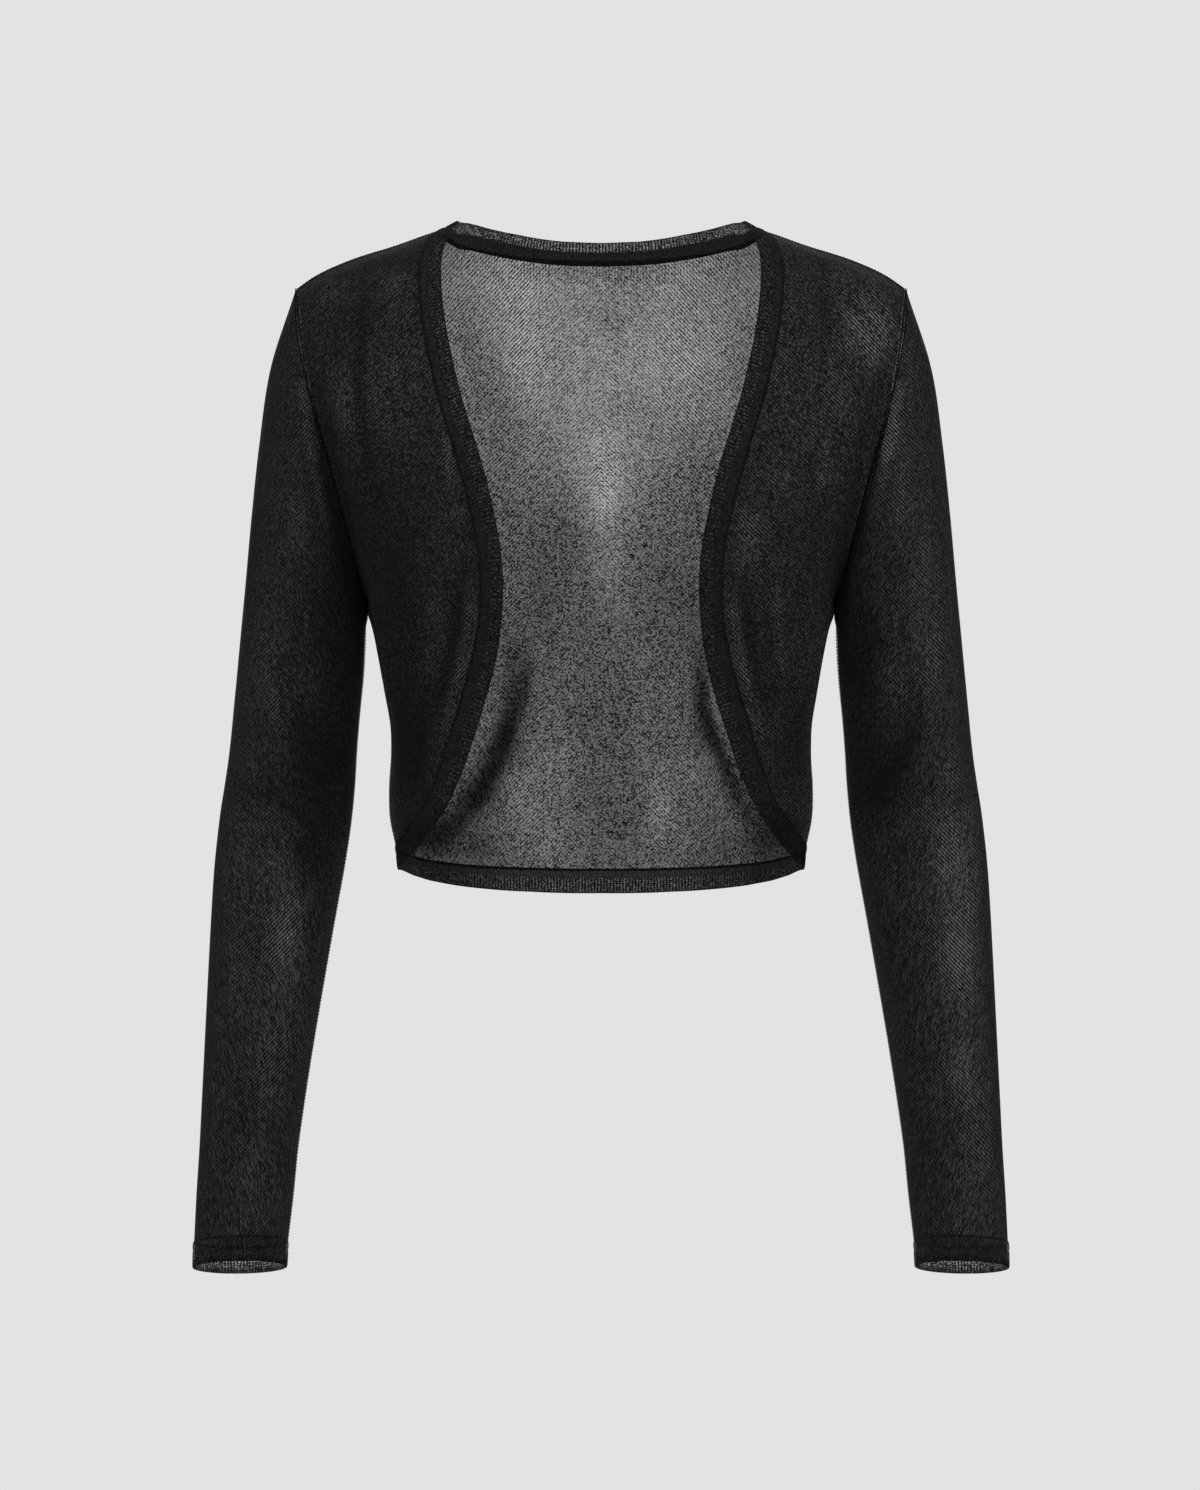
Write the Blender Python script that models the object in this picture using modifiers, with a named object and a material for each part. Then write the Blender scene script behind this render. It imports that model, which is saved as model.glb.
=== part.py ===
"""A knitted shrug: a cropped, long-sleeved, open-fronted knit that stands filled out, as when it is worn.

Metres, +Z up. The wearer faces -Y, so the wearer's left is +X. The origin is midway between the two high
shoulder points, where the wearer's shoulders carry the garment.

The body is one smooth form. A place on it has two coordinates: turn, the angle from the middle of the front or
back (0) to the side seam (a quarter turn), and down, the way along the cloth from the shoulder ridge. Each panel
is a patch between its own seam lines on that form, and each sleeve is a loft from the armhole to the cuff.
"""

import math
from collections import namedtuple

import bpy
import numpy as np
from mathutils import Vector

# Cloth and seams
CLOTH = 0.0010  # wall of the plain knit
RIB = 0.0016  # wall of the ribbed bands and cuffs
SEAM_GAP = 0.0006  # between two pieces sewn edge to edge, before their walls lean into it
ARMHOLE_GAP = CLOTH + 0.0002  # between wall middles, because the sleeve folds back beside the body
BAND_WIDTH = 0.0135  # neck and front band

# Body form
SIDE_TURN = math.pi / 2
SQUARENESS = 2.4  # 2 would make each level an ellipse
RIDGE_RADIUS = 0.070  # how round the shoulder is, front to back

Level = namedtuple("Level", "z half_width front back")
LEVELS = (
    Level(z=-0.430, half_width=0.1252, front=0.080, back=0.079),
    Level(z=-0.400, half_width=0.1256, front=0.080, back=0.078),
    Level(z=-0.387, half_width=0.1270, front=0.081, back=0.079),
    Level(z=-0.372, half_width=0.1302, front=0.084, back=0.080),
    Level(z=-0.345, half_width=0.1308, front=0.085, back=0.078),
    Level(z=-0.321, half_width=0.1292, front=0.086, back=0.077),
    Level(z=-0.285, half_width=0.1345, front=0.092, back=0.080),
    Level(z=-0.255, half_width=0.1405, front=0.099, back=0.084),
    Level(z=-0.237, half_width=0.1440, front=0.102, back=0.087),
    Level(z=-0.200, half_width=0.1595, front=0.105, back=0.091),
    Level(z=-0.150, half_width=0.1790, front=0.099, back=0.093),
    Level(z=-0.100, half_width=0.1925, front=0.087, back=0.089),
    Level(z=-0.050, half_width=0.2010, front=0.071, back=0.077),
    Level(z=-0.020, half_width=0.2040, front=0.060, back=0.062),
    Level(z=0.010, half_width=0.2050, front=0.054, back=0.052),
)

# The ridge from the nape over the high shoulder point to the tip of the shoulder, seen from the front
Ridge = namedtuple("Ridge", "x z")
RIDGE = (
    Ridge(x=0.000, z=0.045),
    Ridge(x=0.045, z=0.034),
    Ridge(x=0.075, z=0.012),
    Ridge(x=0.0887, z=0.000),
    Ridge(x=0.117, z=-0.011),
    Ridge(x=0.155, z=-0.0236),
    Ridge(x=0.180, z=-0.0362),
    Ridge(x=0.188, z=-0.0420),
    Ridge(x=0.205, z=-0.0550),
)
SHOULDER_TIP_X = 0.188

# The seam of the armhole, seen from the front, from the shoulder tip to the underarm
Armhole = namedtuple("Armhole", "z front_x back_x")
ARMHOLE = (
    Armhole(z=-0.0420, front_x=0.1880, back_x=0.1880),
    Armhole(z=-0.0600, front_x=0.1865, back_x=0.1876),
    Armhole(z=-0.0900, front_x=0.1815, back_x=0.1842),
    Armhole(z=-0.1200, front_x=0.1742, back_x=0.1790),
    Armhole(z=-0.1500, front_x=0.1660, back_x=0.1715),
    Armhole(z=-0.1800, front_x=0.1580, back_x=0.1630),
    Armhole(z=-0.2100, front_x=0.1505, back_x=0.1535),
    Armhole(z=-0.2370, front_x=0.1440, back_x=0.1440),
)

# The free edge of the front, from the high shoulder point round to the side seam at the hem
Edge = namedtuple("Edge", "x z")
FRONT_EDGE = (
    Edge(x=0.0887, z=0.0000),
    Edge(x=0.0962, z=-0.0210),
    Edge(x=0.0957, z=-0.0550),
    Edge(x=0.0864, z=-0.1050),
    Edge(x=0.0686, z=-0.1660),
    Edge(x=0.0587, z=-0.2200),
    Edge(x=0.0616, z=-0.2675),
    Edge(x=0.0746, z=-0.3150),
    Edge(x=0.0907, z=-0.3576),
    Edge(x=0.1150, z=-0.3916),
    Edge(x=0.1265, z=-0.4020),
)
NECK_EDGE = (
    Edge(x=0.000, z=-0.0063),
    Edge(x=0.045, z=-0.0050),
    Edge(x=0.075, z=-0.0022),
    Edge(x=0.0887, z=0.0000),
)
# The hem band of the back: its free edge dips at the middle, and its seam is nearly level
SIDE_HEM_Z = -0.4020
MIDDLE_HEM_Z = -0.4187
SIDE_HEM_SEAM_Z = -0.3870
MIDDLE_HEM_SEAM_Z = -0.3990

# Sleeve sections from below the armhole to the wrist, each given by its outer and inner points
Section = namedtuple("Section", "outer_x outer_z inner_x inner_z half_depth middle_y")
SLEEVE = (
    Section(0.1984, -0.0670, 0.1462, -0.2420, 0.049, 0.000),
    Section(0.2070, -0.1042, 0.1462, -0.2475, 0.052, -0.001),
    Section(0.2118, -0.1414, 0.1460, -0.2560, 0.052, -0.002),
    Section(0.2160, -0.1817, 0.1464, -0.2690, 0.051, -0.003),
    Section(0.2200, -0.2282, 0.1475, -0.2871, 0.050, -0.005),
    Section(0.2246, -0.2775, 0.1505, -0.3180, 0.048, -0.007),
    Section(0.2296, -0.3305, 0.1522, -0.3488, 0.047, -0.009),
    Section(0.2370, -0.3828, 0.1562, -0.3860, 0.045, -0.011),
    Section(0.2396, -0.4198, 0.1620, -0.4198, 0.043, -0.014),
    Section(0.2421, -0.4722, 0.1710, -0.4722, 0.040, -0.018),
    Section(0.2445, -0.5272, 0.1799, -0.5272, 0.037, -0.022),
    Section(0.2468, -0.5792, 0.1870, -0.5792, 0.034, -0.026),
    Section(0.2490, -0.6188, 0.1907, -0.6188, 0.032, -0.029),
    Section(0.2493, -0.6295, 0.1922, -0.6295, 0.0315, -0.030),
    Section(0.2495, -0.6450, 0.1930, -0.6450, 0.0315, -0.031),
)

# The largest folds. Body folds run between two places seen from the front; a negative height is a trough
BodyFold = namedtuple("BodyFold", "panel x0 z0 x1 z1 width height")
BODY_FOLDS = (
    BodyFold("back", 0.050, -0.262, 0.092, -0.372, 0.014, -0.0050),
    BodyFold("back", 0.074, -0.250, 0.112, -0.366, 0.013, 0.0040),
    BodyFold("front", 0.138, -0.075, 0.124, -0.235, 0.015, -0.0035),
    BodyFold("front", 0.086, -0.250, 0.106, -0.345, 0.014, 0.0035),
)
# Sleeve folds cross the sleeve; along is 0 at the armhole and 1 at the cuff, around is in degrees, 0 outside and
# 90 in front
SleeveFold = namedtuple("SleeveFold", "along0 around0 along1 around1 width height")
SLEEVE_FOLDS = (
    SleeveFold(0.20, 60.0, 0.42, 130.0, 0.016, -0.0040),
    SleeveFold(0.50, 50.0, 0.44, 150.0, 0.014, -0.0035),
    SleeveFold(0.53, 250.0, 0.45, 330.0, 0.015, -0.0030),
)

SLEEVE_LENGTH = 0.60  # for placing its folds

# How many strips each piece is made of
HALF_ROUND = 10  # front half of a sleeve, and so of an armhole
SIDE_ROWS = 8  # side seam below the underarm
PANEL_COLUMNS = 9
SHOULDER_COLUMNS = 7
HALF_NECK_COLUMNS = 7
SLEEVE_ROWS = 17
FINE = 160  # steps for measuring along a curve
SETTLE_STEPS = 8
BAND_ROWS = 2
BAND_TURNS_AT = 0.83  # share of the front edge that runs down, before it runs round to the side seam

BLACK_KNIT = (0.012, 0.012, 0.013, 1.0)
BLACK_RIB = (0.009, 0.009, 0.010, 1.0)


def along_rows(rows, key, value, at):
    """The column called value, where the column called key is at: a smooth curve through the table's rows."""
    ordered = sorted(rows, key=lambda row: getattr(row, key))
    keys = np.array([getattr(row, key) for row in ordered])
    values = np.array([getattr(row, value) for row in ordered])
    at = float(np.clip(at, keys[0], keys[-1]))
    slopes = np.gradient(values, keys)
    i = int(np.clip(np.searchsorted(keys, at) - 1, 0, len(keys) - 2))
    step = keys[i + 1] - keys[i]
    t = (at - keys[i]) / step
    return float(
        values[i] * (1 + 2 * t) * (1 - t) ** 2
        + values[i + 1] * t * t * (3 - 2 * t)
        + step * (slopes[i] * t * (1 - t) ** 2 - slopes[i + 1] * t * t * (1 - t))
    )


def ridge_height(x):
    return along_rows(RIDGE, "x", "z", abs(x))


def half_width(z):
    return along_rows(LEVELS, "z", "half_width", z)


def body_point(turn, down, panel):
    """The point of the body form at these coordinates, on the wearer's left half."""
    share = max(math.sin(turn), 0.0) ** (2 / SQUARENESS)
    quarter = RIDGE_RADIUS * math.pi / 2
    over_ridge = min(down, quarter) / RIDGE_RADIUS
    drop = RIDGE_RADIUS * (1 - math.cos(over_ridge)) + max(down - quarter, 0.0)
    z = -drop
    for _ in range(SETTLE_STEPS):  # the ridge's height depends on x, and the width on z
        x = half_width(z) * share
        z = ridge_height(x) - drop
    depth = along_rows(LEVELS, "z", panel, z) * math.sin(over_ridge)
    depth *= max(math.cos(turn), 0.0) ** (2 / SQUARENESS)
    return Vector((x, depth if panel == "back" else -depth, z))


def place_of(x, z):
    """The coordinates (turn, down) of a point that is seen at x, z from the front."""
    share = min(x / half_width(z), 1.0)
    drop = max(ridge_height(x) - z, 0.0)
    over_ridge = math.acos(1 - min(drop / RIDGE_RADIUS, 1.0))
    down = RIDGE_RADIUS * over_ridge + max(drop - RIDGE_RADIUS, 0.0)
    return np.array([math.asin(share ** (SQUARENESS / 2)), down])


def even_positions(places, panel, count):
    """Where along a line of places its count equal steps fall."""
    points = [body_point(*place, panel) for place in places]
    steps = [(b - a).length for a, b in zip(points, points[1:])]
    reached = np.concatenate([[0.0], np.cumsum(steps)])
    return np.interp(np.linspace(0.0, reached[-1], count + 1), reached, np.arange(len(places)))


def picked(places, positions):
    places = np.array(places)
    at = np.arange(len(places))
    return np.stack([np.interp(positions, at, places[:, k]) for k in (0, 1)], axis=1)


def evenly(places, panel, count):
    """The same line on the form, as count equal steps along the cloth."""
    return picked(places, even_positions(places, panel, count))


def traced(rows, panel, count):
    """A line through a table's rows of x and z, as places on the form in equal steps."""
    corners = [(row.x, row.z) for row in rows]
    gaps = [math.dist(a, b) for a, b in zip(corners, corners[1:])]
    Stop = namedtuple("Stop", "reached x z")
    stops = [Stop(r, *c) for r, c in zip(np.concatenate([[0.0], np.cumsum(gaps)]), corners)]
    at = np.linspace(0.0, stops[-1].reached, FINE)
    line = [
        place_of(along_rows(stops, "reached", "x", s), along_rows(stops, "reached", "z", s))
        for s in at
    ]
    return evenly(line, panel, count)


def beside(line, panel, distance):
    """A line on the form that runs at this distance beside another, on the panel's side of it.

    A front edge runs down from the shoulder, and a neck edge out from the middle of the back.
    """
    nudge = 1e-4
    steps = 4
    outward = 1 if panel == "back" else -1
    moved = np.array(line)
    for _ in range(steps):
        points = [body_point(*place, panel) for place in moved]
        for i, (turn, down) in enumerate(moved.copy()):
            ahead = points[min(i + 1, len(points) - 1)] - points[max(i - 1, 0)]
            step = -nudge if turn > SIDE_TURN / 2 else nudge
            turning = (body_point(turn + step, down, panel) - points[i]) / step
            falling = (body_point(turn, down + nudge, panel) - points[i]) / nudge
            across = turning.cross(falling).cross(ahead).normalized() * (outward * distance / steps)
            system = np.array([turning, falling]).T
            moved[i] += np.linalg.lstsq(system, np.array(across), rcond=None)[0]
        moved[:, 0] = np.clip(moved[:, 0], 0.0, SIDE_TURN)
        moved[:, 1] = np.maximum(moved[:, 1], 0.0)
    return moved


def side_seam(top_z, bottom_z, panel, count):
    top, bottom = place_of(half_width(top_z), top_z), place_of(half_width(bottom_z), bottom_z)
    line = [(SIDE_TURN, down) for down in np.linspace(top[1], bottom[1], FINE)]
    return evenly(line, panel, count)


def armhole_line(panel, count):
    """The armhole's seam from the shoulder tip to the underarm."""
    places = []
    for z in np.linspace(ARMHOLE[0].z, ARMHOLE[-1].z, FINE):
        x = along_rows(ARMHOLE, "z", panel + "_x", z)
        places.append(place_of(x, z))
    places[0][1] = 0.0
    places[-1][0] = SIDE_TURN
    return evenly(places, panel, count)


def patch(top, bottom, inner, outer):
    """Places that fill the space between four seam lines: rows run from inner to outer, from top to bottom."""
    rows, columns = len(inner) - 1, len(top) - 1
    filled = np.zeros((rows + 1, columns + 1, 2))
    for i in range(rows + 1):
        for j in range(columns + 1):
            v, u = i / rows, j / columns
            across = (1 - u) * inner[i] + u * outer[i]
            downward = (1 - v) * top[j] + v * bottom[j]
            corners = (1 - v) * ((1 - u) * top[0] + u * top[-1])
            corners = corners + v * ((1 - u) * bottom[0] + u * bottom[-1])
            filled[i, j] = across + downward - corners
    return filled


def fold_height(fold, start, end, here):
    """How far a fold from start to end lifts the cloth here, all three as places on the flat cloth."""
    run = end - start
    along = min(max((here - start).dot(run) / run.length_squared, 0.0), 1.0)
    aside = (here - start - run * along).length
    return fold.height * math.exp(-((aside / fold.width) ** 2)) * math.sin(math.pi * along) ** 0.5


def on_body(places, panel, side=1):
    """Points of a grid of places, with the panel's folds, on the wearer's left (side 1) or right (-1)."""
    grid = []
    for row in places:
        points = []
        for place in row:
            point = body_point(*place, panel)
            here = Vector((point.x, point.z))
            lift = 0.0
            for fold in BODY_FOLDS:
                if fold.panel == panel:
                    start, end = Vector((fold.x0, fold.z0)), Vector((fold.x1, fold.z1))
                    lift += fold_height(fold, start, end, here)
            point = point + Vector((point.x, point.y, 0.0)).normalized() * lift
            points.append(Vector((side * point.x, point.y, point.z)))
        grid.append(points)
    return grid


def drawn_in(grid, top=False, bottom=False, first=False, last=False):
    """The same grid with its sewn edges drawn back by half a seam gap."""
    moved = [[point.copy() for point in row] for row in grid]
    half = SEAM_GAP / 2
    for row, new in zip(grid, moved):
        if first:
            new[0] += (row[1] - row[0]).normalized() * half
        if last:
            new[-1] += (row[-2] - row[-1]).normalized() * half
    for j in range(len(grid[0])):
        if top:
            moved[0][j] += (grid[1][j] - grid[0][j]).normalized() * half
        if bottom:
            moved[-1][j] += (grid[-2][j] - grid[-1][j]).normalized() * half
    return moved


def knit_material(name, colour):
    material = bpy.data.materials.get(name) or bpy.data.materials.new(name)
    material.use_nodes = True
    shader = material.node_tree.nodes["Principled BSDF"]
    shader.inputs["Base Color"].default_value = colour
    shader.inputs["Roughness"].default_value = 0.9
    shader.inputs["Metallic"].default_value = 0.0
    return material


def shell(name, grid, wall, material, collection, closed=False, flipped=False):
    """A wall of cloth on a grid of points. A closed grid joins its last column to its first."""
    rows, columns = len(grid), len(grid[0])
    faces = []
    for i in range(rows - 1):
        for j in range(columns if closed else columns - 1):
            k = (j + 1) % columns
            corners = [i * columns + j, i * columns + k, (i + 1) * columns + k, (i + 1) * columns + j]
            faces.append(corners[::-1] if flipped else corners)
    mesh = bpy.data.meshes.new(name)
    mesh.from_pydata([point for row in grid for point in row], [], faces)
    mesh.shade_smooth()
    mesh.materials.append(material)
    piece = bpy.data.objects.new(name, mesh)
    collection.objects.link(piece)
    thickness = piece.modifiers.new("wall", "SOLIDIFY")
    thickness.thickness = wall
    thickness.offset = 0.0
    thickness.use_even_offset = True
    return piece


def mirrored(piece):
    """The wearer's right half of a piece that is made as its left half, open at the middle."""
    mirror = piece.modifiers.new("both halves", "MIRROR")
    mirror.use_axis = (True, False, False)
    mirror.merge_threshold = 0.0001
    piece.modifiers.move(len(piece.modifiers) - 1, 0)
    return piece


def neck_lines():
    """The neck band's free edge and its seam, from the middle of the back to the shoulder seam."""
    edge = traced(NECK_EDGE, "back", FINE)
    seam = beside(edge, "back", BAND_WIDTH)
    seam[0, 0] = 0.0
    seam[-1, 1] = 0.0
    return edge, seam


def front_lines():
    """The front band's free edge and its seam, from the shoulder seam to the side seam."""
    edge = traced(FRONT_EDGE, "front", FINE)
    edge[0, 1] = 0.0
    edge[-1, 0] = SIDE_TURN
    seam = beside(edge, "front", BAND_WIDTH)
    seam[0, 1] = 0.0
    seam[-1, 0] = SIDE_TURN
    return edge, seam


def hem_lines(columns):
    """The hem band's seam and its free edge, from the middle of the back to the side seam."""
    lines = []
    for middle_z, side_z in ((MIDDLE_HEM_SEAM_Z, SIDE_HEM_SEAM_Z), (MIDDLE_HEM_Z, SIDE_HEM_Z)):
        places = []
        for turn in np.linspace(0.0, SIDE_TURN, FINE):
            z = side_z + (middle_z - side_z) * math.cos(turn) ** 2
            x = half_width(z) * math.sin(turn) ** (2 / SQUARENESS)
            places.append([turn, place_of(x, z)[1]])
        lines.append(evenly(places, "back", columns))
    return lines


def shoulder_line(start_x, panel, count):
    """The shoulder seam from start_x to the shoulder tip."""
    line = []
    for x in np.linspace(start_x, SHOULDER_TIP_X, FINE):
        line.append([place_of(x, ridge_height(x))[0], 0.0])
    return evenly(line, panel, count)


def strip(first, second):
    """Places that fill a band between its two long edges."""
    return [first + (second - first) * t for t in np.linspace(0.0, 1.0, BAND_ROWS + 1)]


def build_back(collection, knit, rib):
    neck_edge, neck_seam = neck_lines()
    positions = even_positions(neck_seam, "back", HALF_NECK_COLUMNS)
    neck_edge, neck_seam = picked(neck_edge, positions), picked(neck_seam, positions)
    shoulder = shoulder_line(body_point(*neck_seam[-1], "back").x, "back", SHOULDER_COLUMNS)
    top = np.concatenate([neck_seam, shoulder[1:]])
    hem_seam, hem_edge = hem_lines(len(top) - 1)
    outer = np.concatenate([
        armhole_line("back", HALF_ROUND),
        side_seam(ARMHOLE[-1].z, SIDE_HEM_SEAM_Z, "back", SIDE_ROWS)[1:],
    ])
    middle = [(0.0, down) for down in np.linspace(top[0][1], hem_seam[0][1], FINE)]
    inner = evenly(middle, "back", len(outer) - 1)
    grid = on_body(patch(top, hem_seam, inner, outer), "back")
    grid = drawn_in(grid, top=True, bottom=True, last=True)
    mirrored(shell("back_panel", grid, CLOTH, knit, collection))
    grid = drawn_in(on_body(strip(neck_edge, neck_seam), "back"), bottom=True, last=True)
    mirrored(shell("neck_band", grid, RIB, rib, collection))
    grid = drawn_in(on_body(strip(hem_seam, hem_edge), "back"), top=True, last=True)
    mirrored(shell("hem_band", grid, RIB, rib, collection))


def build_front(collection, knit, rib):
    edge, seam = front_lines()
    turning_at = int(FINE * BAND_TURNS_AT)
    outer = np.concatenate([
        armhole_line("front", HALF_ROUND),
        side_seam(ARMHOLE[-1].z, body_point(*seam[-1], "front").z, "front", SIDE_ROWS)[1:],
    ])
    upright = even_positions(seam[: turning_at + 1], "front", len(outer) - 1)
    level = turning_at + even_positions(seam[turning_at:], "front", PANEL_COLUMNS)
    top = shoulder_line(body_point(*seam[0], "front").x, "front", PANEL_COLUMNS)
    panel = patch(top, picked(seam, level), picked(seam, upright), outer)
    positions = np.concatenate([upright, level[1:]])
    band = strip(picked(edge, positions), picked(seam, positions))
    for name, side in (("left", 1), ("right", -1)):
        grid = drawn_in(on_body(panel, "front", side), top=True, bottom=True, first=True, last=True)
        shell("front_panel_" + name, grid, CLOTH, knit, collection, flipped=side > 0)
        grid = drawn_in(on_body(band, "front", side), bottom=True, first=True, last=True)
        shell("front_band_" + name, grid, RIB, rib, collection, flipped=side > 0)


def armhole_ring():
    """The armhole's points from the shoulder tip round the front to the underarm and back up behind."""
    front = [body_point(*place, "front") for place in armhole_line("front", HALF_ROUND)]
    back = [body_point(*place, "back") for place in armhole_line("back", HALF_ROUND)]
    leaning = front[0] - front[-1]
    outward = Vector((leaning.z, 0.0, -leaning.x)).normalized()
    return [point + outward * ARMHOLE_GAP for point in front + back[-2:0:-1]]


def section_ring(section):
    outer = Vector((section.outer_x, section.middle_y, section.outer_z))
    inner = Vector((section.inner_x, section.middle_y, section.inner_z))
    ring = []
    for k in range(2 * HALF_ROUND):
        angle = math.pi * k / HALF_ROUND
        middle = (outer + inner) / 2 + (outer - inner) / 2 * math.cos(angle)
        ring.append(middle + Vector((0.0, -section.half_depth * math.sin(angle), 0.0)))
    return ring


def between_rings(rings, count):
    """A smooth tube through the rings, as count equal steps along its middle."""
    middles = [sum(ring, Vector()) / len(ring) for ring in rings]
    reached = np.concatenate([[0.0], np.cumsum([(b - a).length for a, b in zip(middles, middles[1:])])])
    solid = np.array([[tuple(point) for point in ring] for ring in rings])
    slopes = np.gradient(solid, reached, axis=0)
    made = []
    for at in np.linspace(0.0, reached[-1], count + 1):
        i = int(np.clip(np.searchsorted(reached, at) - 1, 0, len(rings) - 2))
        step = reached[i + 1] - reached[i]
        t = (at - reached[i]) / step
        ring = solid[i] * (1 + 2 * t) * (1 - t) ** 2 + solid[i + 1] * t * t * (3 - 2 * t)
        ring += step * (slopes[i] * t * (1 - t) ** 2 - slopes[i + 1] * t * t * (1 - t))
        made.append([Vector(point) for point in ring])
    return made


def folded_sleeve(rings):
    """The sleeve's rings with its folds pressed in."""
    made = []
    for i, ring in enumerate(rings):
        middle = sum(ring, Vector()) / len(ring)
        points = []
        for k, point in enumerate(ring):
            outward = point - middle
            radius = outward.length
            here = Vector((i / (len(rings) - 1) * SLEEVE_LENGTH, math.pi * k / HALF_ROUND * radius))
            lift = 0.0
            for fold in SLEEVE_FOLDS:
                start = Vector((fold.along0 * SLEEVE_LENGTH, math.radians(fold.around0) * radius))
                end = Vector((fold.along1 * SLEEVE_LENGTH, math.radians(fold.around1) * radius))
                lift += fold_height(fold, start, end, here)
            points.append(point + outward.normalized() * lift)
        made.append(points)
    return made


def build_sleeves(collection, knit, rib):
    rings = [armhole_ring()] + [section_ring(section) for section in SLEEVE[:-1]]
    sleeve = folded_sleeve(between_rings(rings, SLEEVE_ROWS))
    cuff = between_rings([section_ring(section) for section in SLEEVE[-2:]], BAND_ROWS)
    for name, side in (("left", 1), ("right", -1)):
        for piece, made, wall, material in (("sleeve_", sleeve, CLOTH, knit), ("cuff_", cuff, RIB, rib)):
            grid = [[Vector((side * p.x, p.y, p.z)) for p in ring] for ring in made]
            grid = drawn_in(grid, top=piece == "cuff_", bottom=piece == "sleeve_")
            shell(piece + name, grid, wall, material, collection, closed=True, flipped=side > 0)


def main():
    for left_over in list(bpy.data.objects):
        bpy.data.objects.remove(left_over)
    garment = bpy.data.collections.new("knitted_shrug")
    bpy.context.scene.collection.children.link(garment)
    knit = knit_material("fine_knit", BLACK_KNIT)
    rib = knit_material("rib_knit", BLACK_RIB)
    build_back(garment, knit, rib)
    build_front(garment, knit, rib)
    build_sleeves(garment, knit, rib)


main()
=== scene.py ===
import math

import bpy
import numpy as np
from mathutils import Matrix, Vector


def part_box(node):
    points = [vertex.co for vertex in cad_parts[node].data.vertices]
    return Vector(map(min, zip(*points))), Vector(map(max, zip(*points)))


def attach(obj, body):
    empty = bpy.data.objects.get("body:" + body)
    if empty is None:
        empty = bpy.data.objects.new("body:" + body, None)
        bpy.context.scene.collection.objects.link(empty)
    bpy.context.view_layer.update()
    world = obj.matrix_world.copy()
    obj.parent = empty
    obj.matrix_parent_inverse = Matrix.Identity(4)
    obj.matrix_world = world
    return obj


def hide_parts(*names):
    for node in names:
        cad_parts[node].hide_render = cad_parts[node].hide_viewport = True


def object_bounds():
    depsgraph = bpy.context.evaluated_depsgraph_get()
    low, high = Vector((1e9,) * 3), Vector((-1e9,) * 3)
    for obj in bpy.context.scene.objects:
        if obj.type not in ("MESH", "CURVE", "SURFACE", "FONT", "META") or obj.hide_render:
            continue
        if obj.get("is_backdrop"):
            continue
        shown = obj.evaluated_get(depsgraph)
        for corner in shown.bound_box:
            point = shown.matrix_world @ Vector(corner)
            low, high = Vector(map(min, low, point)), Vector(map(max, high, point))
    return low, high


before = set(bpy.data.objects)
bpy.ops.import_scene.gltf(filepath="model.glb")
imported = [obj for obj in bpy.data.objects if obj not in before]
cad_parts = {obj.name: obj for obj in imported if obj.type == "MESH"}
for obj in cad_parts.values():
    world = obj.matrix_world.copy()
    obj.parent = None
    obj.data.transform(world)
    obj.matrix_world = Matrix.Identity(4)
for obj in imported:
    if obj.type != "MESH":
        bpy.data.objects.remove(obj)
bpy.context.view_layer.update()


# ---- The back ----
# One panel of fine black jersey, knitted to shape at the neck, shoulders and armholes.
# It is knitted so open that daylight shows through it, more across the shoulder blades
# than at the waist, where it is drawn in and the stitches close up. Part of that light is
# painted light and shade: a bright streak down the middle and shade under the neck band.

SHORTEST_STITCHED_SIDE = 0.003  # the faces of a solid's rim have a side shorter than this
BACK_ROWS, BACK_COLUMNS = 18, 28
BACK_FINE_ROWS, BACK_FINE_COLUMNS = 176, 260
SHOULDER_TIP = (0.1875, 0.0, -0.0423)
NECK_POINT = (0.1002, 0.0, -0.0065)
LET_IN = 0.0009  # how far a panel's edge runs into its seam
ARMHOLE_LET_IN = 0.0030  # how much further it does where the armhole turns under the arm
ARM_FRONT, ARM_UNDER = -0.105, -0.2372  # the level where it starts to turn, and its lowest
ARM_TURN, ARM_UNDER_TURN = 0.045, 0.006  # over these heights it turns there
UNDERARM_X, UNDERARM_PRESSED, PRESSED = 0.1450, -0.2435, 0.0021
PRESSED_WIDTH, PRESSED_HEIGHT = 0.012, 0.008
HEM_LET_IN = 0.0058  # and how far the back runs into the hem band
# The hem hangs fuller beside the side seams: how far across, and how much lower it is there.
HEM_DROP = [(0.0, -0.0010), (0.045, -0.0014), (0.070, -0.0024), (0.092, -0.0034), (0.108, -0.0036),
            (0.118, -0.0026), (0.1235, -0.0010), (0.127, 0.0)]
SHOULDER_DIP, SHOULDER_MIDDLE, SHOULDER_SPREAD, SHOULDER_REACH = 0.0017, 0.138, 0.030, 0.090
CORNER, CORNER_BLEND = 0.5, 0.35  # the cosine of a turn that stays sharp, and how it softens
HELD_WIDTH = 0.012  # how far from a seam the cloth is still held flat
FOLD_START, FOLD_FADE, FOLD_SHADE = 0.06, 0.6, 2.7  # how folds fade at their ends and sides
CENTRE_BACK = 0.0
INSIDE_BACK = (0.0, 0.0, -0.2)
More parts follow.
